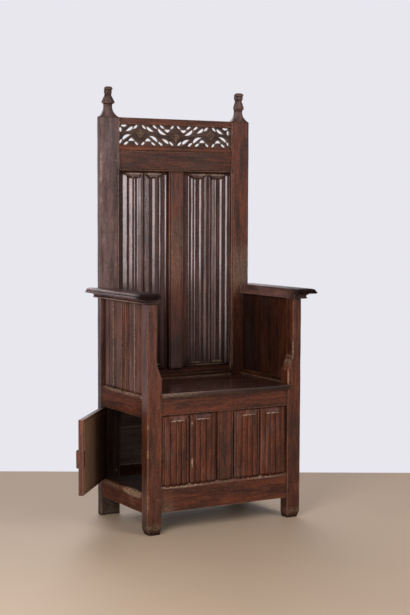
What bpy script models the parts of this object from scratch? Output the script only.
"""High-back Gothic armchair of joined oak with a box seat and a side door, modelled piece by piece.

The chair faces -Y and stands on the floor at Z = 0. X is measured from its middle plane and Y from the
front face of the front stiles, until everything is carried to the middle of the floor at the end. Metres.
"""

from math import cos, pi, radians, sin

import bmesh
import bpy
import numpy as np
from mathutils import Matrix, Vector

# Driving dimensions: overall frame
WIDTH = 0.662
FRAME_DEPTH = 0.388
SHOULDER_HEIGHT = 1.535
FINIAL_HEIGHT = 0.115
CLEAR = 0.0003
SMOOTH_UP_TO = radians(35)
WELD = 0.00001

# Stiles
BACK_STILE_WIDTH = 0.080
BACK_STILE_DEPTH = 0.030
FRONT_STILE_WIDTH = 0.058
FRONT_STILE_UPPER_WIDTH = 0.0375
FRONT_STILE_DEPTH = 0.047
STEP_HEIGHT = 0.578
STEP_LENGTH = 0.047
STEP_POINTS = 6
FOOT_WEAR_WIDTH = 0.010
FOOT_WEAR_HEIGHT = 0.024

# Finial on each back stile: share of its height, half width and half depth of the neck
FINIAL_ROOT = 0.004
FINIAL_STEPS = 6
FINIAL_SWEEP = 2.5
FINIAL_POINTS = 16
FINIAL_ROOT_SQUARENESS = 12.0
FINIAL_SWEEP_SQUARENESS = 6.0
FINIAL_NECK_SQUARENESS = 4.0
FINIAL_NECK = (0.37, 0.0157, 0.0100)
# Bust above the neck: share of the height, half width, half depth, squareness of the section, shift aside
FINIAL_BUST = [
    (0.430, 0.0165, 0.0105, 4.0, 0.0),
    (0.445, 0.0235, 0.0125, 3.0, 0.0),
    (0.480, 0.0250, 0.0128, 3.0, 0.0),
    (0.515, 0.0238, 0.0128, 3.0, 0.0),
    (0.590, 0.0192, 0.0124, 2.6, 0.0),
    (0.670, 0.0146, 0.0115, 2.3, 0.0005),
    (0.735, 0.0127, 0.0105, 2.0, 0.0010),
    (0.785, 0.0134, 0.0112, 2.0, 0.0018),
    (0.850, 0.0148, 0.0122, 2.1, 0.0022),
    (0.930, 0.0152, 0.0124, 2.3, 0.0020),
    (0.980, 0.0146, 0.0120, 2.4, 0.0020),
    (1.000, 0.0118, 0.0098, 2.2, 0.0020),
]

# Rails of the back
BACK_RAIL_THICKNESS = 0.024
BACK_SETBACK = 0.002
CREST_RAIL_HEIGHT = 0.025
FRIEZE_HEIGHT = 0.079
FRIEZE_SILL_HEIGHT = 0.0225
FRIEZE_SILL_SLOPE = 0.010
FRIEZE_SILL_LIP = 0.003
UPPER_BACK_RAIL_HEIGHT = 0.078
LOWER_BACK_RAIL_TOP = 0.5535
LOWER_BACK_RAIL_HEIGHT = 0.074
BACK_MUNTIN_WIDTH = 0.066
BACK_BOTTOM_RAIL_HEIGHT = 0.110
BACK_BOARD_THICKNESS = 0.014

# Box seat
SEAT_TOP = 0.518
SEAT_THICKNESS = 0.018
SEAT_NOSE = 0.010
ROUND_STEPS = 5
SEAT_MOULDING = 0.016
CLEAT_SIZE = 0.024
FLOOR_BOARD_THICKNESS = 0.014
FLOOR_REST = 0.008
FRONT_RAIL_THICKNESS = 0.028
FRONT_SETBACK = 0.002
FRONT_SEAT_RAIL_HEIGHT = 0.0625
FRONT_BOTTOM_RAIL_LOW = 0.080
FRONT_BOTTOM_RAIL_HEIGHT = 0.098
FRONT_MUNTIN_WIDTH = 0.066
SIDE_RAIL_THICKNESS = 0.026
SIDE_SETBACK = 0.002
SIDE_SEAT_RAIL_TOP = 0.5105
SIDE_SEAT_RAIL_HEIGHT = 0.083
SIDE_BOTTOM_RAIL_LOW = 0.0765
DOOR_SILL_HEIGHT = 0.0705
DOOR_SILL_WEAR = 0.003
RAIL_CHAMFER_HEIGHT = 0.010
RAIL_CHAMFER_DEPTH = 0.009

# Arms
ARM_TOP = 0.8835
ARM_THICKNESS = 0.038
ARM_OVERHANG_SIDE = 0.052
ARM_OVERHANG_FRONT = 0.033
# Edge moulding from the underside up: share of the overhang, share of the thickness
ARM_MOULDING_SHARES = (
    (0.00, 0.00),
    (0.30, 0.04),
    (0.36, 0.15),
    (0.30, 0.30),
    (0.46, 0.44),
    (0.86, 0.50),
    (1.00, 0.64),
    (0.92, 0.78),
    (0.60, 1.00),
)

# Joinery
TENON_THICKNESS = 0.010
TENON_SHOULDER = 0.010
TENON_LENGTH = 0.030
SIDE_TENON_LENGTH = 0.018
GROOVE_DEPTH = 0.009
TONGUE_THICKNESS = 0.008
PEG_RADIUS = 0.004
PEG_TIP_RADIUS = 0.0036
PEG_SEGMENTS = 10
PEG_INSET = 0.015
PEG_PROUD = 0.0004

# Linenfold: half of the fold section as share of the half width and share of the relief
FOLD_SHARES = (
    (0.00, 1.00),
    (0.07, 0.92),
    (0.14, 0.10),
    (0.24, 0.80),
    (0.35, 0.08),
    (0.46, 1.00),
    (0.55, 0.42),
    (0.66, 0.86),
    (0.93, 0.00),
)
FOLD_STEPS = 3
FOLD_RELIEF = 0.009
FOLD_SETBACK = 0.002
FOLD_END_MARGIN = 0.010
FOLD_END_RAMP = 0.007
BACK_FOLD_DROP = 0.016
FRONT_FOLD_DROP = 0.011
FOLD_RUN_OUT = 0.001
FOLD_DROP_FROM = 0.12
FOLD_DROP_TO = 0.72
FOLD_DROP_ROUND = 0.08

# Pierced frieze
FRIEZE_THICKNESS = 0.006
FRIEZE_TONGUE = 0.006
MOTIF_WIDTH = 0.157
MOTIF_SHARE = 0.3127
BOSS_RISE = 0.006
BOSS_REACH = 0.018
BOSS_TOP_REACH = 0.011
BOSS_HEIGHT = 0.004
HOLE_POINTS = 12
# Piercings of half a motif, laid out on MOTIF_WIDTH: place beside and above the boss, length, width, turn,
# pointedness, bend
PIERCINGS = (
    (0.0185, 0.0300, 0.0220, 0.0092, -38, 0.3, 0.0),
    (0.0450, 0.0205, 0.0350, 0.0138, -28, 1.0, 0.0015),
    (0.0360, -0.0180, 0.0250, 0.0098, 0, 0.0, -0.0060),
    (0.0145, -0.0328, 0.0180, 0.0082, 36, 0.2, 0.0),
    (0.0595, -0.0332, 0.0210, 0.0086, -29, 0.2, 0.0),
)
# Two more between bosses, and four at either end of the frieze
INNER_PIERCINGS = (
    (0.0610, -0.0105, 0.0430, 0.0148, 151, 1.0, 0.0045),
    (0.0665, 0.0320, 0.0230, 0.0090, -31, 0.3, 0.0),
)
END_PIERCINGS = (
    (0.0585, -0.0060, 0.0400, 0.0140, 153, 1.0, 0.0040),
    (0.0690, 0.0330, 0.0250, 0.0075, -4, 0.0, 0.0025),
    (0.0830, 0.0185, 0.0165, 0.0110, 90, 0.0, 0.0),
    (0.0825, -0.0265, 0.0190, 0.0086, -54, 0.2, 0.0),
)

# Door, on the chair's left side
DOOR_THICKNESS = 0.020
DOOR_RELIEF = 0.006
DOOR_MARGIN = 0.024
DOOR_GAP = 0.002
DOOR_FREE_GAP = 0.0065
DOOR_OPEN = 40.0
PULL_LENGTH = 0.066
PULL_WIDTH = 0.018
PULL_PROUD = 0.009
PULL_ABOVE_MIDDLE = -0.006
PULL_STEPS = 4
HINGE_HEIGHT = 0.050
HINGE_FROM_EDGE = 0.030
LEAF_THICKNESS = 0.0015
LEAF_WIDTH = 0.016
KNUCKLE_RADIUS = 0.004
KNUCKLE_OUT = 0.0048
KNUCKLE_SEGMENTS = 16
HINGE_PIN_RADIUS = 0.0018
PIN_HEAD_RADIUS = 0.0032
PIN_HEAD_HEIGHT = 0.002
CATCH_LENGTH = 0.050
CATCH_WIDTH = 0.011
CATCH_THICKNESS = 0.0015
CATCH_NAIL_SPACING = 0.034
NAIL_HEAD_RADIUS = 0.0028
NAIL_HEAD_HEIGHT = 0.0022
NAIL_SHANK_RADIUS = 0.0012
NAIL_LENGTH = 0.014
NAIL_SEGMENTS = 8

# Heights and places that follow from the driving dimensions
HALF = WIDTH / 2
BACK_FACE = FRAME_DEPTH
BACK_RAIL_FRONT = BACK_FACE + BACK_SETBACK
BACK_RAIL_REAR = BACK_RAIL_FRONT + BACK_RAIL_THICKNESS
BACK_INNER = HALF - BACK_STILE_WIDTH
BOSS_SPACING = 2 * BACK_INNER * MOTIF_SHARE
MOTIF_STRETCH = BOSS_SPACING / MOTIF_WIDTH
FRONT_INNER = HALF - FRONT_STILE_WIDTH
FRONT_RAIL_REAR = FRONT_SETBACK + FRONT_RAIL_THICKNESS
SIDE_OUTER = HALF - SIDE_SETBACK
SIDE_INNER = SIDE_OUTER - SIDE_RAIL_THICKNESS
SIDE_FRONT = FRONT_STILE_DEPTH
SIDE_REAR = BACK_FACE
ARM_LOW = ARM_TOP - ARM_THICKNESS
CREST_LOW = SHOULDER_HEIGHT - CREST_RAIL_HEIGHT
FRIEZE_LOW = CREST_LOW - FRIEZE_HEIGHT
UPPER_BACK_RAIL_TOP = FRIEZE_LOW - FRIEZE_SILL_HEIGHT
UPPER_BACK_RAIL_LOW = UPPER_BACK_RAIL_TOP - UPPER_BACK_RAIL_HEIGHT
LOWER_BACK_RAIL_LOW = LOWER_BACK_RAIL_TOP - LOWER_BACK_RAIL_HEIGHT
BACK_BOTTOM_RAIL_TOP = FRONT_BOTTOM_RAIL_LOW + BACK_BOTTOM_RAIL_HEIGHT
SEAT_LOW = SEAT_TOP - SEAT_THICKNESS
FRONT_SEAT_RAIL_LOW = SEAT_LOW - FRONT_SEAT_RAIL_HEIGHT
FRONT_BOTTOM_RAIL_TOP = FRONT_BOTTOM_RAIL_LOW + FRONT_BOTTOM_RAIL_HEIGHT
SIDE_SEAT_RAIL_LOW = SIDE_SEAT_RAIL_TOP - SIDE_SEAT_RAIL_HEIGHT
DOOR_SILL_TOP = SIDE_BOTTOM_RAIL_LOW + DOOR_SILL_HEIGHT
SIDE_BOTTOM_RAIL_TOP = DOOR_SILL_TOP + RAIL_CHAMFER_HEIGHT
HINGE_GAP = 2 * (LEAF_THICKNESS + 2 * CLEAR)
HINGE_Y = SIDE_REAR - HINGE_GAP / 2
HINGE_X = -(HALF + KNUCKLE_OUT)
DOOR_REAR = SIDE_REAR - HINGE_GAP
DOOR_FRONT = SIDE_FRONT + DOOR_FREE_GAP
DOOR_LOW = DOOR_SILL_TOP + DOOR_GAP
DOOR_TOP = SIDE_SEAT_RAIL_LOW - DOOR_GAP
DOOR_MIDDLE = (DOOR_LOW + DOOR_TOP) / 2

# Finishes: colour, roughness, metallic
OAK = ((0.085, 0.036, 0.024), 0.48, 0.0)
OAK_RED = ((0.110, 0.040, 0.026), 0.48, 0.0)
OAK_GREY = ((0.090, 0.060, 0.048), 0.48, 0.0)
OAK_ROUGH = ((0.075, 0.052, 0.034), 0.8, 0.0)
IRON = ((0.060, 0.056, 0.054), 0.5, 0.9)

PARTS = "high_back_chair"
CUTTERS = "joinery_cutters"
SIDES = (("left", -1), ("right", 1))
sockets = {}


def collection(name, hidden=False):
    """Finds a collection by its name, or adds it to the scene."""
    found = bpy.data.collections.get(name)
    if not found:
        found = bpy.data.collections.new(name)
        found.hide_render = hidden
        bpy.context.scene.collection.children.link(found)
    return found


def finish(obj, kind):
    """Gives a piece its own material, and smooth shading where its faces meet gently."""
    colour, roughness, metallic = kind
    material = bpy.data.materials.new(obj.name + "_finish")
    material.use_nodes = True
    shader = material.node_tree.nodes["Principled BSDF"]
    shader.inputs["Base Color"].default_value = (*colour, 1.0)
    shader.inputs["Roughness"].default_value = roughness
    shader.inputs["Metallic"].default_value = metallic
    obj.data.materials.append(material)
    obj.data.shade_smooth()
    obj.data.set_sharp_from_angle(angle=SMOOTH_UP_TO)
    return obj


def to_object(name, bm, place=(0, 0, 0), cutter=False):
    """Turns a bmesh into an object at a place, with its faces pointing out."""
    bmesh.ops.recalc_face_normals(bm, faces=bm.faces)
    mesh = bpy.data.meshes.new(name)
    bm.to_mesh(mesh)
    bm.free()
    obj = bpy.data.objects.new(name, mesh)
    obj.location = place
    collection(CUTTERS if cutter else PARTS, hidden=cutter).objects.link(obj)
    if cutter:
        obj.hide_render = True
        obj.display_type = "WIRE"
    return obj


def add_box(bm, low, high):
    """Adds a box between two corners to a bmesh."""
    low, high = np.minimum(low, high), np.maximum(low, high)
    made = bmesh.ops.create_cube(bm, size=1.0)
    bmesh.ops.scale(bm, verts=made["verts"], vec=tuple(high - low))
    bmesh.ops.translate(bm, verts=made["verts"], vec=tuple((high + low) / 2))


def add_rod(bm, start, end, radius, segments=12, end_radius=None):
    """Adds a closed cylinder or cone between two points to a bmesh."""
    start, end = Vector(start), Vector(end)
    turn = Vector((0, 0, 1)).rotation_difference(end - start).to_matrix().to_4x4()
    place = Matrix.Translation((start + end) / 2) @ turn
    bmesh.ops.create_cone(
        bm,
        cap_ends=True,
        segments=segments,
        radius1=radius,
        radius2=radius if end_radius is None else end_radius,
        depth=(end - start).length,
        matrix=place,
    )


def box(name, low, high):
    """One plain box piece, with its origin at its middle."""
    middle = (np.array(low) + np.array(high)) / 2
    bm = bmesh.new()
    add_box(bm, low - middle, high - middle)
    return to_object(name, bm, middle)


def prism(name, outline, axis, start, end):
    """A piece of one section: an outline in the other two axes, in X, Y, Z order, run along an axis."""
    bm = bmesh.new()
    verts = []
    for first, second in outline:
        point = [first, second]
        point.insert(axis, start)
        verts.append(bm.verts.new(point))
    face = bm.faces.new(verts)
    run = bmesh.ops.extrude_face_region(bm, geom=[face])
    shift = Vector((0, 0, 0))
    shift[axis] = end - start
    moved = [item for item in run["geom"] if isinstance(item, bmesh.types.BMVert)]
    bmesh.ops.translate(bm, verts=moved, vec=shift)
    return to_object(name, bm)


def loft(bm, rings):
    """Skins closed rings of equal point counts into one closed body."""
    rows = [[bm.verts.new(point) for point in ring] for ring in rings]
    for lower, upper in zip(rows, rows[1:]):
        for i in range(len(lower)):
            j = (i + 1) % len(lower)
            bm.faces.new((lower[i], lower[j], upper[j], upper[i]))
    bm.faces.new(rows[0][::-1])
    bm.faces.new(rows[-1])


def smooth(share):
    """Eases a share from 0 to 1 with level ends."""
    share = min(max(share, 0.0), 1.0)
    return share * share * (3 - 2 * share)


def combine(host, helper, operation):
    """Joins a helper to a piece, or cuts it away, with a Boolean that stays on the piece."""
    modifier = host.modifiers.new(helper.name, "BOOLEAN")
    modifier.operation = operation
    modifier.solver = "EXACT"
    modifier.use_self = True
    modifier.object = helper
    helper.parent = host
    helper.matrix_parent_inverse = host.matrix_basis.inverted()


def join_boxes(host, boxes):
    """Joins boxes such as tenons to a piece."""
    for number, (low, high) in enumerate(boxes):
        bm = bmesh.new()
        add_box(bm, low, high)
        combine(host, to_object(f"{host.name}_join_{number}", bm, cutter=True), "UNION")


def seat_box(host, low, high):
    """Notes the hollow that a box-shaped end takes in another piece, with clearance all round."""
    low, high = np.minimum(low, high), np.maximum(low, high)
    sockets.setdefault(host, []).append(("box", low - CLEAR, high + CLEAR))


def seat_rod(host, start, end, radius):
    """Notes the hole that a round pin takes in another piece."""
    along = (Vector(end) - Vector(start)).normalized() * CLEAR
    sockets.setdefault(host, []).append(("rod", Vector(start) - along, Vector(end) + along, radius + CLEAR))


def cut_sockets():
    """Cuts every noted mortise, groove and hole."""
    for host, hollows in sockets.items():
        bm = bmesh.new()
        for kind, *shape in hollows:
            if kind == "box":
                add_box(bm, *shape)
            else:
                add_rod(bm, *shape)
        combine(bpy.data.objects[host], to_object(host + "_sockets", bm, cutter=True), "DIFFERENCE")


def cross_tenons(name, hosts, x_end, y_middle, low, high, length):
    """Tenons at both ends of a rail that runs across the chair, and their mortises in the two stiles."""
    obj = bpy.data.objects[name]
    boxes = []
    for (_, sign), host in zip(SIDES, hosts):
        near = (sign * (x_end - TENON_SHOULDER), y_middle - TENON_THICKNESS / 2, low + TENON_SHOULDER)
        far = (sign * (x_end + length), y_middle + TENON_THICKNESS / 2, high - TENON_SHOULDER)
        boxes.append((near, far))
        seat_box(host, near, far)
    join_boxes(obj, boxes)


def peg(name, x, z, front, depth, hosts):
    """A round oak peg driven from the front through a joint."""
    bm = bmesh.new()
    start, end = (x, front - PEG_PROUD, z), (x, front + depth, z)
    add_rod(bm, start, end, PEG_RADIUS, segments=PEG_SEGMENTS, end_radius=PEG_TIP_RADIUS)
    for host in hosts:
        seat_rod(host, start, end, PEG_RADIUS)
    finish(to_object(name, bm), OAK_RED)


def fold_section(border):
    """The folds across a panel, as pairs of share of the half width and share of the relief."""
    half = [FOLD_SHARES[0]]
    for (x0, h0), (x1, h1) in zip(FOLD_SHARES, FOLD_SHARES[1:]):
        last = border if (x1, h1) == FOLD_SHARES[-1] else h1
        for step in range(1, FOLD_STEPS + 1):
            share = step / FOLD_STEPS
            half.append((x0 + (x1 - x0) * share, h0 + (last - h0) * smooth(share)))
    return [(-x, h) for x, h in half[:0:-1]] + half


def fold_drop(share):
    """How far the carved end of the folds stands back here, as a share of the whole drop."""
    inner = smooth((abs(share) - FOLD_DROP_FROM) / FOLD_DROP_ROUND)
    outer = smooth((FOLD_DROP_TO - abs(share)) / FOLD_DROP_ROUND)
    return inner * outer


def linenfold(name, size, sight, thickness, relief, drops, place, turn=0.0, border=0.0):
    """A panel carved with linenfold on its -Y face.

    size is the whole width and height, and sight the margins hidden at the sides, the bottom and the top.
    drops says for the bottom and the top how far the carved ends of the folds stand back; with none they run
    on to the rail. border is 0 for folds that stand up from a thin edge and 1 for folds sunk into a board.
    """
    width, height = size
    hidden_side, hidden_low, hidden_top = sight
    half_carved = width / 2 - hidden_side
    columns = fold_section(border)
    across = [(share * half_carved, level) for share, level in columns]
    across = [(-width / 2, border)] + across + [(width / 2, border)]
    ends = []
    for drop, hidden in ((drops[0], hidden_low), (drops[1], hidden_top)):
        margin, ramp = (FOLD_END_MARGIN, FOLD_END_RAMP) if drop else (CLEAR, FOLD_RUN_OUT)
        ends.append((hidden + margin, ramp, drop))
    bm = bmesh.new()
    grid = bmesh.ops.create_grid(bm, x_segments=len(across) - 1, y_segments=5, size=0.5)
    (low, low_ramp, low_drop), (top, top_ramp, top_drop) = ends
    for index, vert in enumerate(grid["verts"]):
        row, column = divmod(index, len(across))
        x, level = across[column]
        back = fold_drop(x / half_carved)
        fold_low, fold_top = low + low_drop * back, height - top - top_drop * back
        heights = (0.0, fold_low, fold_low + low_ramp, fold_top - top_ramp, fold_top, height)
        # The two middle rows lie on the folds, the others on the edge round them
        carved = row in (2, 3)
        vert.co = (x, relief * (1 - (level if carved else border)), heights[row] - height / 2)
    outer = [edge for edge in bm.edges if edge.is_boundary]
    walls = bmesh.ops.extrude_edge_only(bm, edges=outer)
    rim = [item for item in walls["geom"] if isinstance(item, bmesh.types.BMVert)]
    for vert in rim:
        vert.co.y = thickness
    bmesh.ops.contextual_create(bm, geom=[edge for edge in bm.edges if edge.is_boundary])
    obj = to_object(name, bm, place)
    obj.rotation_euler.z = radians(turn)
    return obj


def make_back_stiles():
    """Wide back stiles, each ending in a bust on a flared neck carved from the same timber."""
    for side, sign in SIDES:
        name = f"back_stile_{side}"
        rear = BACK_FACE + BACK_STILE_DEPTH
        stile = box(name, (sign * BACK_INNER, BACK_FACE, 0.0), (sign * HALF, rear, SHOULDER_HEIGHT))
        bm = bmesh.new()
        loft(bm, finial_rings(sign * (HALF - BACK_STILE_WIDTH / 2), BACK_FACE + BACK_STILE_DEPTH / 2))
        combine(stile, to_object(name + "_finial", bm, cutter=True), "UNION")
        finish(stile, OAK_GREY)


def finial_rings(x, y):
    """Sections of the finial: sweep from the shoulders, neck, cloak, throat and a head in a flat cap."""
    half_width, half_depth = BACK_STILE_WIDTH / 2 - CLEAR, BACK_STILE_DEPTH / 2 - CLEAR
    neck_share, neck_width, neck_depth = FINIAL_NECK
    sections = [(-FINIAL_ROOT / FINIAL_HEIGHT, half_width, half_depth, FINIAL_ROOT_SQUARENESS, 0.0)]
    for step in range(FINIAL_STEPS):
        share = step / FINIAL_STEPS
        sweep = (1 - share) ** FINIAL_SWEEP
        across = neck_width + (half_width - neck_width) * sweep
        deep = neck_depth + (half_depth - neck_depth) * sweep
        sections.append((neck_share * share, across, deep, FINIAL_SWEEP_SQUARENESS, 0.0))
    sections.append((neck_share, neck_width, neck_depth, FINIAL_NECK_SQUARENESS, 0.0))
    sections += FINIAL_BUST
    rings = []
    for share, across, deep, square, aside in sections:
        ring = []
        for i in range(FINIAL_POINTS):
            turn = 2 * pi * (i + 0.5) / FINIAL_POINTS
            reach_x = across * np.sign(cos(turn)) * abs(cos(turn)) ** (2 / square)
            reach_y = deep * np.sign(sin(turn)) * abs(sin(turn)) ** (2 / square)
            set_back = half_depth - deep
            height = SHOULDER_HEIGHT + share * FINIAL_HEIGHT
            ring.append((x + aside + reach_x, y + set_back + reach_y, height))
        rings.append(ring)
    return rings


def make_front_stiles():
    """Front stiles that step in above the seat by an ogee, with worn feet and a tenon up into the arm."""
    narrowing = FRONT_STILE_WIDTH - FRONT_STILE_UPPER_WIDTH
    for side, sign in SIDES:
        name = f"front_stile_{side}"
        inner = [(FRONT_INNER + FOOT_WEAR_WIDTH / 2, 0.0), (FRONT_INNER, FOOT_WEAR_HEIGHT / 2)]
        for step in range(STEP_POINTS + 1):
            share = step / STEP_POINTS
            inner.append((FRONT_INNER + narrowing * smooth(share), STEP_HEIGHT + STEP_LENGTH * share))
        inner.append((FRONT_INNER + narrowing, ARM_LOW - CLEAR))
        outer = [(HALF, ARM_LOW - CLEAR), (HALF, FOOT_WEAR_HEIGHT), (HALF - FOOT_WEAR_WIDTH, 0.0)]
        outline = [(sign * x, z) for x, z in inner + outer]
        stile = prism(name, outline, 1, 0.0, FRONT_STILE_DEPTH)
        x_middle = HALF - FRONT_STILE_UPPER_WIDTH / 2
        low = (sign * (x_middle - TENON_THICKNESS), TENON_SHOULDER, ARM_LOW - TENON_SHOULDER)
        rear = FRONT_STILE_DEPTH - TENON_SHOULDER
        high = (sign * (x_middle + TENON_THICKNESS), rear, ARM_LOW + ARM_THICKNESS / 2)
        join_boxes(stile, [(low, high)])
        seat_box(f"arm_{side}", low, high)
        finish(stile, OAK_RED)


def cross_rail(name, hosts, x_end, faces, levels, chamfer=False, colour=OAK):
    """A rail across the chair, tenoned at both ends, with a worn chamfer on its upper front edge if asked."""
    (front, rear), (low, high) = faces, levels
    outline = [(front, low), (rear, low), (rear, high)]
    if chamfer:
        outline += [(front + RAIL_CHAMFER_DEPTH, high), (front, high - RAIL_CHAMFER_HEIGHT)]
    else:
        outline.append((front, high))
    rail = prism(name, outline, 0, -x_end + CLEAR, x_end - CLEAR)
    cross_tenons(name, hosts, x_end, (front + rear) / 2, low, high, TENON_LENGTH)
    finish(rail, colour)


def make_back_rails():
    """Crest, upper, lower and bottom rails of the back."""
    stiles = ("back_stile_left", "back_stile_right")
    faces = (BACK_RAIL_FRONT, BACK_RAIL_REAR)
    cross_rail("crest_rail", stiles, BACK_INNER, faces, (CREST_LOW, SHOULDER_HEIGHT))
    levels = (UPPER_BACK_RAIL_LOW, UPPER_BACK_RAIL_TOP - CLEAR)
    cross_rail("upper_back_rail", stiles, BACK_INNER, faces, levels)
    levels = (LOWER_BACK_RAIL_LOW, LOWER_BACK_RAIL_TOP)
    cross_rail("lower_back_rail", stiles, BACK_INNER, faces, levels, chamfer=True)
    levels = (FRONT_BOTTOM_RAIL_LOW, BACK_BOTTOM_RAIL_TOP)
    cross_rail("back_bottom_rail", stiles, BACK_INNER, faces, levels)


def make_front_rails():
    """Seat rail and bottom rail of the front."""
    stiles = ("front_stile_left", "front_stile_right")
    faces = (FRONT_SETBACK, FRONT_RAIL_REAR)
    levels = (FRONT_SEAT_RAIL_LOW, SEAT_LOW - CLEAR)
    cross_rail("front_seat_rail", stiles, FRONT_INNER, faces, levels, colour=OAK_RED)
    levels = (FRONT_BOTTOM_RAIL_LOW, FRONT_BOTTOM_RAIL_TOP)
    cross_rail("front_bottom_rail", stiles, FRONT_INNER, faces, levels, chamfer=True)


def muntin(name, width, faces, below, above):
    """An upright between two panels, tenoned into the rails below and above, each given with its level."""
    (front, rear), (low_rail, low), (high_rail, high) = faces, below, above
    upright = box(name, (-width / 2, front, low + CLEAR), (width / 2, rear, high - CLEAR))
    middle, half = (front + rear) / 2, width / 2 - TENON_SHOULDER
    boxes = []
    for host, start, end in (
        (low_rail, low + TENON_SHOULDER, low - TENON_LENGTH),
        (high_rail, high - TENON_SHOULDER, high + TENON_LENGTH),
    ):
        near = (-half, middle - TENON_THICKNESS / 2, start)
        far = (half, middle + TENON_THICKNESS / 2, end)
        boxes.append((near, far))
        seat_box(host, near, far)
    join_boxes(upright, boxes)
    finish(upright, OAK_RED)


def make_muntins():
    """The uprights in the middle of the back and of the front."""
    faces = (BACK_RAIL_FRONT, BACK_RAIL_REAR)
    below, above = ("lower_back_rail", LOWER_BACK_RAIL_TOP), ("upper_back_rail", UPPER_BACK_RAIL_LOW)
    muntin("back_muntin", BACK_MUNTIN_WIDTH, faces, below, above)
    faces = (FRONT_SETBACK, FRONT_RAIL_REAR)
    below, above = ("front_bottom_rail", FRONT_BOTTOM_RAIL_TOP), ("front_seat_rail", FRONT_SEAT_RAIL_LOW)
    muntin("front_muntin", FRONT_MUNTIN_WIDTH, faces, below, above)


def cross_panel(name, x_span, front, z_span, drops, hosts):
    """A linenfold panel facing front, its thin edges in grooves of the four pieces round it."""
    (x_low, x_high), (low, high) = sorted(x_span), z_span
    width, height = x_high - x_low + 2 * GROOVE_DEPTH, high - low + 2 * GROOVE_DEPTH
    place = ((x_low + x_high) / 2, front + FOLD_SETBACK, (low + high) / 2)
    thickness = FOLD_RELIEF + TONGUE_THICKNESS
    sight = (GROOVE_DEPTH, GROOVE_DEPTH, GROOVE_DEPTH)
    panel = linenfold(name, (width, height), sight, thickness, FOLD_RELIEF, drops, place)
    tongue_front = front + FOLD_SETBACK + FOLD_RELIEF
    corner_low = (x_low - GROOVE_DEPTH, tongue_front, low - GROOVE_DEPTH)
    corner_high = (x_high + GROOVE_DEPTH, tongue_front + TONGUE_THICKNESS, high + GROOVE_DEPTH)
    for host in hosts:
        seat_box(host, corner_low, corner_high)
    finish(panel, OAK)


def make_panels():
    """The two back panels and the two front panels."""
    for side, sign in SIDES:
        hosts = (f"back_stile_{side}", "back_muntin", "upper_back_rail", "lower_back_rail")
        x_span = (sign * BACK_MUNTIN_WIDTH / 2, sign * BACK_INNER)
        z_span = (LOWER_BACK_RAIL_TOP, UPPER_BACK_RAIL_LOW)
        drops = (BACK_FOLD_DROP, BACK_FOLD_DROP)
        cross_panel(f"back_panel_{side}", x_span, BACK_RAIL_FRONT, z_span, drops, hosts)
        hosts = (f"front_stile_{side}", "front_muntin", "front_seat_rail", "front_bottom_rail")
        x_span = (sign * FRONT_MUNTIN_WIDTH / 2, sign * FRONT_INNER)
        z_span = (FRONT_BOTTOM_RAIL_TOP, FRONT_SEAT_RAIL_LOW)
        drops = (0.0, FRONT_FOLD_DROP)
        cross_panel(f"front_panel_{side}", x_span, FRONT_SETBACK, z_span, drops, hosts)


def leaf_outline(place, length, width, turn, pointed, bend):
    """A leaf-shaped piercing, pointed at one end, bent along a curve and stretched to the motif's width."""
    points = []
    for i in range(HOLE_POINTS):
        t = 2 * pi * (i + 0.5) / HOLE_POINTS
        x = length / 2 * cos(t)
        z = width / 2 * sin(t) * sin(t / 2) ** pointed + bend * cos(t) ** 2
        a = radians(turn)
        across, up = x * cos(a) - z * sin(a), x * sin(a) + z * cos(a)
        points.append((MOTIF_STRETCH * (place[0] + across), place[1] + up))
    return points


def frieze_piercings():
    """All piercings of the frieze: the motif is upright at the outer bosses and upside down at the middle."""
    holes = []
    for sign in (-1, 1):
        for x, z, length, width, turn, pointed, bend in PIERCINGS + END_PIERCINGS:
            outward = leaf_outline((x, z), length, width, turn, pointed, bend)
            holes.append([(sign * (BOSS_SPACING + px), pz) for px, pz in outward])
        for x, z, length, width, turn, pointed, bend in PIERCINGS + INNER_PIERCINGS:
            inward = leaf_outline((x, z), length, width, turn, pointed, bend)
            holes.append([(sign * (BOSS_SPACING - px), pz) for px, pz in inward])
            holes.append([(sign * px, -pz) for px, pz in inward])
    return holes


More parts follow.
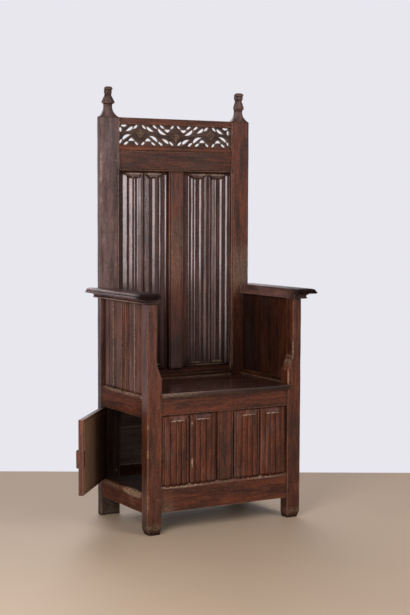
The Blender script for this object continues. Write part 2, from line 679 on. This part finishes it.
def make_frieze():
    """The pierced frieze under the crest rail, with three lozenge bosses, and the sill that it stands on."""
    half_width, half_height = BACK_INNER + FRIEZE_TONGUE, FRIEZE_HEIGHT / 2 + FRIEZE_TONGUE
    middle_y = (BACK_RAIL_FRONT + BACK_RAIL_REAR) / 2
    middle_z = FRIEZE_LOW + FRIEZE_HEIGHT / 2
    corners = ((-1, -1), (1, -1), (1, 1), (-1, 1))
    rim = [(half_width * across, half_height * up) for across, up in corners]
    curve = bpy.data.curves.new("frieze_outline", "CURVE")
    curve.dimensions = "2D"
    curve.fill_mode = "BOTH"
    curve.extrude = FRIEZE_THICKNESS / 2
    for outline in [rim] + frieze_piercings():
        spline = curve.splines.new("POLY")
        spline.points.add(len(outline) - 1)
        for point, (x, y) in zip(spline.points, outline):
            point.co = (x, y, 0.0, 1.0)
        spline.use_cyclic_u = True
    flat = bpy.data.objects.new("frieze_outline", curve)
    collection(CUTTERS, hidden=True).objects.link(flat)
    bpy.context.view_layer.update()
    mesh = bpy.data.meshes.new_from_object(flat.evaluated_get(bpy.context.evaluated_depsgraph_get()))
    bpy.data.objects.remove(flat)
    bm = bmesh.new()
    bm.from_mesh(mesh)
    bmesh.ops.remove_doubles(bm, verts=bm.verts, dist=WELD)
    bmesh.ops.rotate(bm, verts=bm.verts, matrix=Matrix.Rotation(pi / 2, 3, "X"))
    frieze = to_object("frieze_panel", bm, (0.0, middle_y, middle_z))
    front = middle_y - FRIEZE_THICKNESS / 2
    for place, rise in ((-BOSS_SPACING, BOSS_RISE), (0.0, -BOSS_RISE), (BOSS_SPACING, BOSS_RISE)):
        bm = bmesh.new()
        root = (place, front + FRIEZE_THICKNESS / 2, middle_z + rise)
        tip = (place, front - BOSS_HEIGHT, middle_z + rise)
        slope = (BOSS_REACH - BOSS_TOP_REACH) / BOSS_HEIGHT
        root_reach = BOSS_REACH + slope * FRIEZE_THICKNESS / 2
        add_rod(bm, root, tip, root_reach, segments=4, end_radius=BOSS_TOP_REACH)
        combine(frieze, to_object(f"frieze_boss_{place:.3f}", bm, cutter=True), "UNION")
    low = (-half_width, front, middle_z - half_height)
    high = (half_width, front + FRIEZE_THICKNESS, middle_z + half_height)
    for host in ("back_stile_left", "back_stile_right", "crest_rail", "frieze_sill"):
        seat_box(host, low, high)
    finish(frieze, OAK_GREY)
    nose, slope_top = BACK_FACE - BACK_SETBACK, front - FRIEZE_SILL_LIP
    outline = [(nose, UPPER_BACK_RAIL_TOP), (BACK_RAIL_REAR, UPPER_BACK_RAIL_TOP)]
    outline += [(BACK_RAIL_REAR, FRIEZE_LOW), (slope_top, FRIEZE_LOW), (nose, FRIEZE_LOW - FRIEZE_SILL_SLOPE)]
    sill = prism("frieze_sill", outline, 0, -BACK_INNER + CLEAR, BACK_INNER - CLEAR)
    finish(sill, OAK_RED)


def side_rail(name, sign, low, high, side, chamfer):
    """A rail along one side of the box, tenoned into the front and back stiles, its upper outer edge off."""
    depth, height = chamfer
    outline = [(SIDE_INNER, low), (SIDE_OUTER, low), (SIDE_OUTER, high - height)]
    outline += [(SIDE_OUTER - depth, high), (SIDE_INNER, high)]
    rail = prism(name, [(sign * x, z) for x, z in outline], 1, SIDE_FRONT + CLEAR, SIDE_REAR - CLEAR)
    x_middle = (SIDE_INNER + SIDE_OUTER) / 2
    boxes = []
    for host, start, end in (
        (f"front_stile_{side}", SIDE_FRONT + TENON_SHOULDER, SIDE_FRONT - SIDE_TENON_LENGTH),
        (f"back_stile_{side}", SIDE_REAR - TENON_SHOULDER, SIDE_REAR + SIDE_TENON_LENGTH),
    ):
        near = (sign * (x_middle - TENON_THICKNESS / 2), start, low + TENON_SHOULDER)
        far = (sign * (x_middle + TENON_THICKNESS / 2), end, high - TENON_SHOULDER - height)
        boxes.append((near, far))
        seat_box(host, near, far)
    join_boxes(rail, boxes)
    finish(rail, OAK)


def side_panel(name, sign, low, high, hosts):
    """A linenfold panel facing outwards, its thin edges in grooves of the pieces round it."""
    width, height = SIDE_REAR - SIDE_FRONT + 2 * GROOVE_DEPTH, high - low + 2 * GROOVE_DEPTH
    outer = SIDE_OUTER - FOLD_SETBACK
    place = (sign * outer, (SIDE_FRONT + SIDE_REAR) / 2, (low + high) / 2)
    sight = (GROOVE_DEPTH, GROOVE_DEPTH, GROOVE_DEPTH)
    thickness = FOLD_RELIEF + TONGUE_THICKNESS
    panel = linenfold(name, (width, height), sight, thickness, FOLD_RELIEF, (0.0, 0.0), place, 90 * sign)
    tongue = outer - FOLD_RELIEF
    corner_low = (sign * tongue, SIDE_FRONT - GROOVE_DEPTH, low - GROOVE_DEPTH)
    corner_high = (sign * (tongue - TONGUE_THICKNESS), SIDE_REAR + GROOVE_DEPTH, high + GROOVE_DEPTH)
    for host in hosts:
        seat_box(host, corner_low, corner_high)
    finish(panel, OAK)


def make_sides():
    """Side rails and panels. The right side is closed below the seat, and the left has the door there."""
    weathered, worn = (RAIL_CHAMFER_DEPTH, RAIL_CHAMFER_HEIGHT), (DOOR_SILL_WEAR, DOOR_SILL_WEAR)
    side_rail("side_bottom_rail_left", -1, SIDE_BOTTOM_RAIL_LOW, DOOR_SILL_TOP, "left", worn)
    side_rail("side_bottom_rail_right", 1, SIDE_BOTTOM_RAIL_LOW, SIDE_BOTTOM_RAIL_TOP, "right", weathered)
    for side, sign in SIDES:
        side_rail(f"side_seat_rail_{side}", sign, SIDE_SEAT_RAIL_LOW, SIDE_SEAT_RAIL_TOP, side, weathered)
        stiles = (f"front_stile_{side}", f"back_stile_{side}")
        hosts = stiles + (f"side_seat_rail_{side}", f"arm_{side}")
        side_panel(f"side_panel_{side}", sign, SIDE_SEAT_RAIL_TOP, ARM_LOW, hosts)
    stiles = ("front_stile_right", "back_stile_right")
    rails = ("side_seat_rail_right", "side_bottom_rail_right")
    side_panel("lower_side_panel_right", 1, SIDE_BOTTOM_RAIL_TOP, SIDE_SEAT_RAIL_LOW, stiles + rails)


def make_arms():
    """Arms moulded along the outside and the front, and notched round the back stiles."""
    inner = HALF - FRONT_STILE_UPPER_WIDTH
    rear = BACK_FACE + BACK_STILE_DEPTH
    for side, sign in SIDES:
        rings = []
        for share, rise in ARM_MOULDING_SHARES:
            x_out, y_front = HALF + share * ARM_OVERHANG_SIDE, -share * ARM_OVERHANG_FRONT
            corners = [(inner, rear), (x_out, rear), (x_out, y_front), (inner, y_front)]
            rings.append([(sign * x, y, ARM_LOW + rise * ARM_THICKNESS) for x, y in corners])
        bm = bmesh.new()
        loft(bm, rings)
        arm = to_object(f"arm_{side}", bm)
        below, above = ARM_LOW - ARM_THICKNESS, ARM_TOP + ARM_THICKNESS
        seat_box(f"arm_{side}", (0.0, BACK_FACE, below), (sign * HALF, rear + ARM_THICKNESS, above))
        finish(arm, OAK_GREY)


def make_seat():
    """Seat board on cleats, the small mouldings round it and the floor of the box."""
    notch = FRONT_STILE_DEPTH
    board_half = SIDE_INNER - CLEAR
    rear = BACK_RAIL_FRONT - CLEAR
    nose_half = FRONT_INNER - CLEAR
    outline = [(rear, SEAT_LOW), (rear, SEAT_TOP)]
    radius = SEAT_THICKNESS / 2
    for step in range(ROUND_STEPS + 1):
        turn = pi / 2 + pi * step / ROUND_STEPS
        outline.append((-SEAT_NOSE + radius + radius * cos(turn), SEAT_LOW + radius + radius * sin(turn)))
    seat = prism("seat_board", outline, 0, -board_half, board_half)
    for _, sign in SIDES:
        low = (sign * nose_half, -SEAT_NOSE - notch, SEAT_LOW - notch)
        high = (sign * WIDTH, notch, SEAT_TOP + notch)
        seat_box("seat_board", low, high)
        stile_low = (sign * BACK_INNER, BACK_FACE, SEAT_LOW - notch)
        stile_high = (sign * WIDTH, BACK_FACE + notch, SEAT_TOP + notch)
        seat_box("seat_board", stile_low, stile_high)
    finish(seat, OAK)
    panel_inner = SIDE_OUTER - FOLD_SETBACK - FOLD_RELIEF - TONGUE_THICKNESS
    for side, sign in SIDES:
        strip = quarter_round(panel_inner - CLEAR, -1, SEAT_TOP + CLEAR, SEAT_MOULDING)
        strip = [(sign * x, z) for x, z in strip]
        obj = prism(f"seat_moulding_{side}", strip, 1, SIDE_FRONT + CLEAR, BACK_FACE - CLEAR)
        finish(obj, OAK)
        x_outer, top = SIDE_INNER - CLEAR, SEAT_LOW - CLEAR
        cleat_low = (sign * (x_outer - CLEAT_SIZE), SIDE_FRONT + CLEAR, top - CLEAT_SIZE)
        cleat = box(f"seat_cleat_{side}", cleat_low, (sign * x_outer, BACK_FACE - CLEAR, top))
        finish(cleat, OAK_ROUGH)
    strip = quarter_round(BACK_RAIL_FRONT - CLEAR, -1, SEAT_TOP + CLEAR, SEAT_MOULDING)
    reach = min(panel_inner - SEAT_MOULDING, BACK_INNER) - 2 * CLEAR
    finish(prism("seat_moulding_back", strip, 0, -reach, reach), OAK)
    floor_half, floor_low = SIDE_INNER + FLOOR_REST, DOOR_SILL_TOP - FLOOR_BOARD_THICKNESS
    low = (-floor_half, FRONT_RAIL_REAR + CLEAR, floor_low)
    high = (floor_half, BACK_FACE - CLEAR, DOOR_SILL_TOP)
    finish(box("floor_board", low, high), OAK_ROUGH)
    for side, sign in SIDES:
        corner = (sign * FRONT_INNER, -notch, floor_low - notch)
        seat_box("floor_board", corner, (sign * WIDTH, notch, floor_low + notch))
        above = DOOR_SILL_TOP + (FLOOR_BOARD_THICKNESS if side == "left" else 0.0)
        far = (sign * floor_half, BACK_FACE + notch, above)
        seat_box(f"side_bottom_rail_{side}", (0.0, 0.0, floor_low), far)


def quarter_round(corner, sense, low, size):
    """Outline of a quarter-round strip standing in a corner: a flat foot, a flat back and a round face."""
    points = [(corner, low), (corner, low + size)]
    for step in range(1, ROUND_STEPS + 1):
        turn = pi / 2 * step / ROUND_STEPS
        points.append((corner + sense * size * sin(turn), low + size * cos(turn)))
    return points


def make_box_back():
    """Two boards that close the back of the box, in grooves of the stiles and rails."""
    middle = (BACK_BOTTOM_RAIL_TOP + LOWER_BACK_RAIL_LOW) / 2
    y_middle = (BACK_RAIL_FRONT + BACK_RAIL_REAR) / 2
    front, rear = y_middle - BACK_BOARD_THICKNESS / 2, y_middle + BACK_BOARD_THICKNESS / 2
    reach = BACK_INNER + GROOVE_DEPTH
    bands = (
        ("back_board_lower", BACK_BOTTOM_RAIL_TOP - GROOVE_DEPTH, middle - CLEAR / 2, "back_bottom_rail"),
        ("back_board_upper", middle + CLEAR / 2, LOWER_BACK_RAIL_LOW + GROOVE_DEPTH, "lower_back_rail"),
    )
    for name, low, high, rail in bands:
        corner_low, corner_high = (-reach, front, low), (reach, rear, high)
        finish(box(name, corner_low, corner_high), OAK_ROUGH)
        for host in ("back_stile_left", "back_stile_right", rail):
            seat_box(host, corner_low, corner_high)


def make_pegs():
    """Pegs through the main joints of the front and the back."""
    down = TENON_SHOULDER + 2 * PEG_RADIUS
    front_joints = (
        ("front_seat_rail", (FRONT_SEAT_RAIL_LOW + SEAT_LOW) / 2),
        ("front_bottom_rail", (FRONT_BOTTOM_RAIL_LOW + FRONT_BOTTOM_RAIL_TOP) / 2),
    )
    back_joints = (
        ("upper_back_rail", (UPPER_BACK_RAIL_LOW + UPPER_BACK_RAIL_TOP) / 2),
        ("lower_back_rail", LOWER_BACK_RAIL_TOP - down),
        ("back_bottom_rail", BACK_BOTTOM_RAIL_TOP - down),
    )
    for side, sign in SIDES:
        for rail, z in front_joints:
            hosts = (f"front_stile_{side}", rail)
            x = sign * (FRONT_INNER + PEG_INSET)
            peg(f"peg_{rail}_{side}", x, z, 0.0, FRONT_RAIL_REAR, hosts)
        for rail, z in back_joints:
            hosts = (f"back_stile_{side}", rail)
            x = sign * (BACK_INNER + PEG_INSET)
            peg(f"peg_{rail}_{side}", x, z, BACK_FACE, BACK_RAIL_THICKNESS, hosts)


def hinge_leaf(name, low, sense, turns):
    """One leaf of a butt hinge: a plate on the jamb or the door, rolled round the pin at its knuckles."""
    knuckle = HINGE_HEIGHT / 3
    plate_front = HINGE_Y + sense * CLEAR
    plate_back = plate_front + sense * LEAF_THICKNESS
    plate_outer = HINGE_X + KNUCKLE_RADIUS + 2 * CLEAR
    bm = bmesh.new()
    plate_inner = plate_outer + LEAF_WIDTH
    add_box(bm, (plate_outer, plate_front, low), (plate_inner, plate_back, low + HINGE_HEIGHT))
    leaf = to_object(name, bm)
    for turn in turns:
        bottom, top = low + turn * knuckle + CLEAR / 2, low + (turn + 1) * knuckle - CLEAR / 2
        bm = bmesh.new()
        start, end = (HINGE_X, HINGE_Y, bottom), (HINGE_X, HINGE_Y, top)
        add_rod(bm, start, end, KNUCKLE_RADIUS, segments=KNUCKLE_SEGMENTS)
        combine(leaf, to_object(f"{name}_knuckle_{turn}", bm, cutter=True), "UNION")
        tab_low = (HINGE_X + HINGE_PIN_RADIUS, plate_front, bottom)
        tab_high = (plate_outer + LEAF_THICKNESS, plate_back, top)
        bm = bmesh.new()
        add_box(bm, tab_low, tab_high)
        combine(leaf, to_object(f"{name}_tab_{turn}", bm, cutter=True), "UNION")
    bore_low, bore_high = low - HINGE_HEIGHT, low + 2 * HINGE_HEIGHT
    seat_rod(name, (HINGE_X, HINGE_Y, bore_low), (HINGE_X, HINGE_Y, bore_high), HINGE_PIN_RADIUS)
    finish(leaf, IRON)
    return leaf


def make_hinges():
    """Two iron butt hinges. The stile's leaf has the outer knuckles and the door's leaf the middle one."""
    moving = []
    levels = (("upper", DOOR_TOP - HINGE_FROM_EDGE - HINGE_HEIGHT), ("lower", DOOR_LOW + HINGE_FROM_EDGE))
    for level, low in levels:
        hinge_leaf(f"hinge_frame_leaf_{level}", low, 1, (0, 2))
        moving.append(hinge_leaf(f"hinge_door_leaf_{level}", low, -1, (1,)))
        bm = bmesh.new()
        top = low + HINGE_HEIGHT + CLEAR
        add_rod(bm, (HINGE_X, HINGE_Y, low), (HINGE_X, HINGE_Y, top + PIN_HEAD_HEIGHT / 2), HINGE_PIN_RADIUS)
        pin = to_object(f"hinge_pin_{level}", bm)
        bm = bmesh.new()
        add_rod(bm, (HINGE_X, HINGE_Y, top), (HINGE_X, HINGE_Y, top + PIN_HEAD_HEIGHT), PIN_HEAD_RADIUS)
        combine(pin, to_object(f"hinge_pin_head_{level}", bm, cutter=True), "UNION")
        finish(pin, IRON)
    return moving


def make_door():
    """The door board with sunk linenfold outside, and the pull at its free edge, as they lie when shut."""
    width, height = DOOR_REAR - DOOR_FRONT, DOOR_TOP - DOOR_LOW
    place = (-HALF, (DOOR_FRONT + DOOR_REAR) / 2, DOOR_MIDDLE)
    sight = (DOOR_MARGIN, DOOR_MARGIN - FOLD_END_MARGIN, DOOR_MARGIN - FOLD_END_MARGIN)
    drops = (FRONT_FOLD_DROP, FRONT_FOLD_DROP)
    size = (width, height)
    door = linenfold("door", size, sight, DOOR_THICKNESS, DOOR_RELIEF, drops, place, -90, border=1.0)
    finish(door, OAK_ROUGH)
    low = DOOR_MIDDLE + PULL_ABOVE_MIDDLE - PULL_LENGTH / 2
    face, root = HALF + CLEAR, low + PULL_PROUD
    half = [(HALF - DOOR_THICKNESS, root), (face, root), (face, low)]
    for step in range(1, PULL_STEPS + 1):
        turn = pi / 2 * step / PULL_STEPS
        half.append((face + PULL_PROUD * sin(turn), low + PULL_PROUD * (1 - cos(turn))))
    middle = 2 * low + PULL_LENGTH
    outline = half + [(x, middle - z) for x, z in half[::-1]]
    pull = prism("door_pull", [(-x, z) for x, z in outline], 1, DOOR_FRONT, DOOR_FRONT + PULL_WIDTH)
    reach = DOOR_THICKNESS
    root_low = (-HALF - CLEAR - reach, DOOR_FRONT - reach, root)
    root_high = (-HALF + DOOR_THICKNESS + reach, DOOR_FRONT + PULL_WIDTH, middle - root)
    seat_box("door", root_low, root_high)
    finish(pull, OAK_RED)
    return [door, pull]


def make_catch():
    """Iron strike plate nailed to the rear face of the front left stile, where the door's free edge comes."""
    x_outer, front = -HALF, SIDE_FRONT + CLEAR
    middle = DOOR_MIDDLE + PULL_ABOVE_MIDDLE
    low = (x_outer, front, middle - CATCH_LENGTH / 2)
    high = (x_outer + CATCH_WIDTH, front + CATCH_THICKNESS, middle + CATCH_LENGTH / 2)
    finish(box("catch_plate", low, high), IRON)
    x = x_outer + NAIL_HEAD_RADIUS + CLEAR
    head = front + CATCH_THICKNESS + CLEAR
    for level, sign in (("lower", -1), ("upper", 1)):
        z = middle + sign * CATCH_NAIL_SPACING / 2
        name = f"catch_nail_{level}"
        bm = bmesh.new()
        tip = (x, head + NAIL_HEAD_HEIGHT, z)
        add_rod(bm, (x, head, z), tip, NAIL_HEAD_RADIUS, end_radius=NAIL_HEAD_RADIUS / 2)
        nail = to_object(name, bm)
        start, end = (x, head + NAIL_HEAD_HEIGHT / 2, z), (x, head - NAIL_LENGTH, z)
        bm = bmesh.new()
        add_rod(bm, start, end, NAIL_SHANK_RADIUS, segments=NAIL_SEGMENTS)
        combine(nail, to_object(name + "_shank", bm, cutter=True), "UNION")
        for host in ("catch_plate", "front_stile_left"):
            seat_rod(host, start, end, NAIL_SHANK_RADIUS)
        finish(nail, IRON)


def hang_door(moving):
    """Hangs the door's pieces on an empty on the hinge line and opens it."""
    pivot = bpy.data.objects.new("door_hinge_line", None)
    pivot.location = (HINGE_X, HINGE_Y, DOOR_MIDDLE)
    collection(PARTS).objects.link(pivot)
    for piece in moving:
        piece.parent = pivot
        piece.matrix_parent_inverse = Matrix.Translation(-pivot.location)
    pivot.rotation_euler.z = -radians(DOOR_OPEN)
    return pivot


def stand_on_floor():
    """Carries the whole chair so that its origin is on the floor at the middle of its outline."""
    root = bpy.data.objects.new("chair_origin", None)
    collection(PARTS).objects.link(root)
    tops = [obj for obj in collection(PARTS).objects if obj.parent is None and obj != root]
    bpy.context.view_layer.update()
    graph = bpy.context.evaluated_depsgraph_get()
    corners = []
    for obj in collection(PARTS).objects:
        if obj.type != "MESH":
            continue
        solid = obj.evaluated_get(graph)
        points = np.array([solid.matrix_world @ vert.co for vert in solid.data.vertices])
        corners += [points.min(axis=0), points.max(axis=0)]
    low, high = np.min(corners, axis=0), np.max(corners, axis=0)
    for obj in tops:
        obj.parent = root
    root.location = (-(low[0] + high[0]) / 2, -(low[1] + high[1]) / 2, -low[2])


def main():
    for obj in list(bpy.data.objects):
        bpy.data.objects.remove(obj, do_unlink=True)
    make_back_stiles()
    make_front_stiles()
    make_back_rails()
    make_front_rails()
    make_muntins()
    make_frieze()
    make_sides()
    make_arms()
    make_panels()
    make_seat()
    make_box_back()
    make_pegs()
    moving = make_door() + make_hinges()
    make_catch()
    cut_sockets()
    hang_door(moving)
    stand_on_floor()


main()
